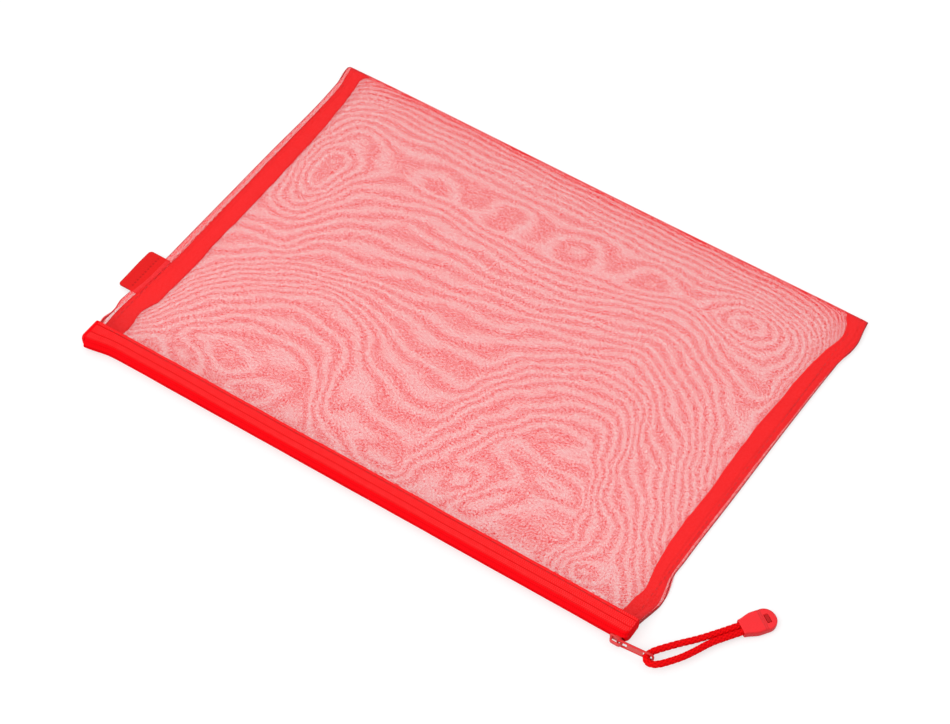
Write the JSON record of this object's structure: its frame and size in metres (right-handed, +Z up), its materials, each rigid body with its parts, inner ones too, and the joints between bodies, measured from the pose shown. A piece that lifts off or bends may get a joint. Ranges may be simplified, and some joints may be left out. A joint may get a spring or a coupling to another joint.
{
  "type": "document wallet",
  "caption": "Flat gauze document wallet folded at the back, bound at the sides and closed along the front by a coil zipper with a corded pull and a side label.",
  "frame": {"origin": "middle of the underside, on the table", "axes": "+X along the zipper to its closed end, +Y to the folded back edge, +Z up"},
  "size_m": [0.3992, 0.2469, 0.0089],
  "materials": {
    "gauze": "open woven nylon gauze, slight sheen",
    "binding": "plain woven tape",
    "zip_tape": "ribbed woven tape",
    "coil": "nylon monofilament",
    "slider": "lacquered die-cast zinc",
    "tab": "lacquered steel",
    "cord": "round braid",
    "cord_end": "moulded, satin",
    "plug": "moulded, satin",
    "label": "soft moulded label, matt",
    "thread": "spun thread"
  },
  "bodies": {
    "wallet": {"mesh_body": "gauze", "left_binding_tape": "binding", "right_binding_tape": "binding", "label_tab": "label", "upper_zip_tape": "zip_tape", "lower_zip_tape": "zip_tape", "upper_coil": "coil", "lower_coil": "coil", "upper_zip_stitching": "thread", "lower_zip_stitching": "thread", "left_seam_stitching": "thread", "right_seam_stitching": "thread"},
    "slider": {"slider_body": "slider"},
    "tab": {"pull_tab": "tab"},
    "pull": {"pull_cord": "cord", "cord_end_shell": "cord_end", "cord_end_plug": "plug"}
  },
  "joints": [
    {"name": "slider_travel", "type": "slide", "parent": "wallet", "child": "slider", "axis": [-1, 0, 0], "range_m": [0, 0.316], "deforming": ["upper_coil", "lower_coil", "pull_cord", "cord_end_shell", "cord_end_plug"]},
    {"name": "pull_tab_swing", "type": "hinge", "parent": "slider", "child": "tab", "pos_m": [0.1639, -0.1234, 0.0043], "axis": [0, 0, -1], "range_deg": [0, 150]},
    {"name": "cord_swing", "type": "hinge", "parent": "tab", "child": "pull", "pos_m": [0.18283, -0.12174, 0.0043], "axis": [0, 0, -1], "range_deg": [-20, 130]}
  ]
}
